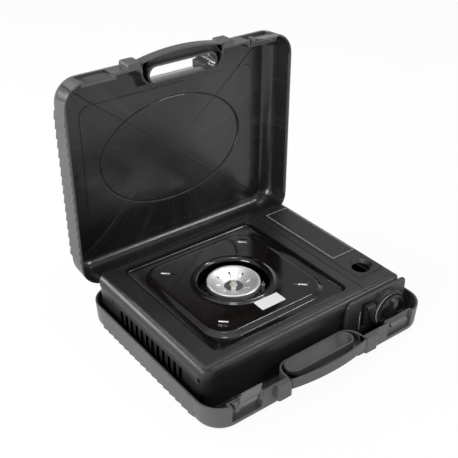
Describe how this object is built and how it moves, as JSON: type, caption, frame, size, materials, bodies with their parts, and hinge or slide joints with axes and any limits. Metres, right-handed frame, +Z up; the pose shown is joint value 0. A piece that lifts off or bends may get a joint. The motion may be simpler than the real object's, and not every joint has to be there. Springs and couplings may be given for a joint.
{
  "type": "butane cassette stove",
  "caption": "Portable table stove with a square pan support, one burner and a hinged gas compartment, lying in its open hinged carrying case.",
  "frame": {"origin": "on the underside of the case tray, 2 mm to the right of the stove's middle", "axes": "+X to the stove's right, where the gas compartment is; +Y to its back, where the case's hinges are; +Z up"},
  "size_m": [0.382, 0.3758, 0.3657],
  "materials": {
    "case_plastic": "moulded, fine satin grain",
    "latch_plastic": "moulded, satin",
    "bright_steel": "bright drawn",
    "zinc_steel": "zinc plated",
    "black_paint": "satin black powder coat",
    "enamel": "glossy dark enamel",
    "cast_aluminium": "die cast, matt",
    "bright_aluminium": "spun, satin",
    "dark_steel": "heat darkened",
    "brass": "turned",
    "ceramic": "glazed white",
    "white_rubber": "silicone sleeve",
    "white_plastic": "moulded, semi gloss",
    "rubber": "moulded",
    "panel_plastic": "moulded, satin",
    "dial_metal": "brushed ring",
    "knob_plastic": "moulded, semi gloss"
  },
  "bodies": {
    "case": {"case_tray": "case_plastic", "case_hinge_pins": "bright_steel", "tray_latch_pin": "bright_steel"},
    "lid": {"case_lid": "case_plastic", "lid_latch_pin": "bright_steel"},
    "tray_latch": {"tray_latch": "latch_plastic"},
    "lid_latch": {"lid_latch": "latch_plastic"},
    "stove": {"base_pan": "zinc_steel", "rubber_feet": "rubber", "body_shell": "black_paint", "shell_screws": "black_paint", "partition_plate": "zinc_steel", "top_plate": "black_paint", "burner_well": "zinc_steel", "burner_bowl": "cast_aluminium", "burner_cap": "bright_aluminium", "flame_plate": "dark_steel", "burner_bridge": "bright_steel", "burner_nut": "brass", "mixing_tube": "cast_aluminium", "air_shutter": "zinc_steel", "gas_pipe": "brass", "electrode": "ceramic", "igniter_lead": "white_rubber", "piezo_igniter": "white_plastic", "regulator_bracket": "zinc_steel", "valve_body": "cast_aluminium", "control_panel": "panel_plastic", "dial_ring": "dial_metal", "cover_hinge_pins": "bright_steel"},
    "cover": {"gas_cover": "black_paint"},
    "pan": {"pan_support": "enamel", "support_prongs": "enamel"},
    "knob": {"control_knob": "knob_plastic", "valve_spindle": "brass"},
    "lever": {"lock_lever": "knob_plastic"},
    "claw": {"cartridge_claw": "zinc_steel"}
  },
  "joints": [
    {"name": "case_lid_hinge", "type": "hinge", "parent": "case", "child": "lid", "pos_m": [0, 0.1465, 0.0382], "axis": [-1, 0, 0], "range_deg": [-90, 0]},
    {"name": "tray_latch_hinge", "type": "hinge", "parent": "case", "child": "tray_latch", "pos_m": [-0.1345, -0.1676, 0.0415], "axis": [1, 0, 0], "range_deg": [-15, 30]},
    {"name": "lid_latch_hinge", "type": "hinge", "parent": "lid", "child": "lid_latch", "pos_m": [0.1345, 0.1432, 0.3523], "axis": [-1, 0, 0], "range_deg": [-15, 30]},
    {"name": "stove_lift", "type": "slide", "parent": "case", "child": "stove", "axis": [0, 0, 1], "range_m": [0, 0.08]},
    {"name": "cover_hinge", "type": "hinge", "parent": "stove", "child": "cover", "pos_m": [0.167, 0, 0.052], "axis": [0, 1, 0], "range_deg": [0, 95]},
    {"name": "pan_lift", "type": "slide", "parent": "stove", "child": "pan", "axis": [0, 0, 1], "range_m": [0, 0.04]},
    {"name": "knob_turn", "type": "hinge", "parent": "stove", "child": "knob", "pos_m": [0.136, -0.1435, 0.037], "axis": [0, -1, 0], "range_deg": [0, 120]},
    {"name": "lever_slide", "type": "slide", "parent": "stove", "child": "lever", "axis": [0, 0, -1], "range_m": [0, 0.024]},
    {"name": "claw_slide", "type": "slide", "parent": "stove", "child": "claw", "axis": [0, -1, 0], "range_m": [0, 0.0081]}
  ],
  "couplings": [
    {"joint": "claw_slide", "follows": "lever_slide", "ratio": 0.33333}
  ]
}
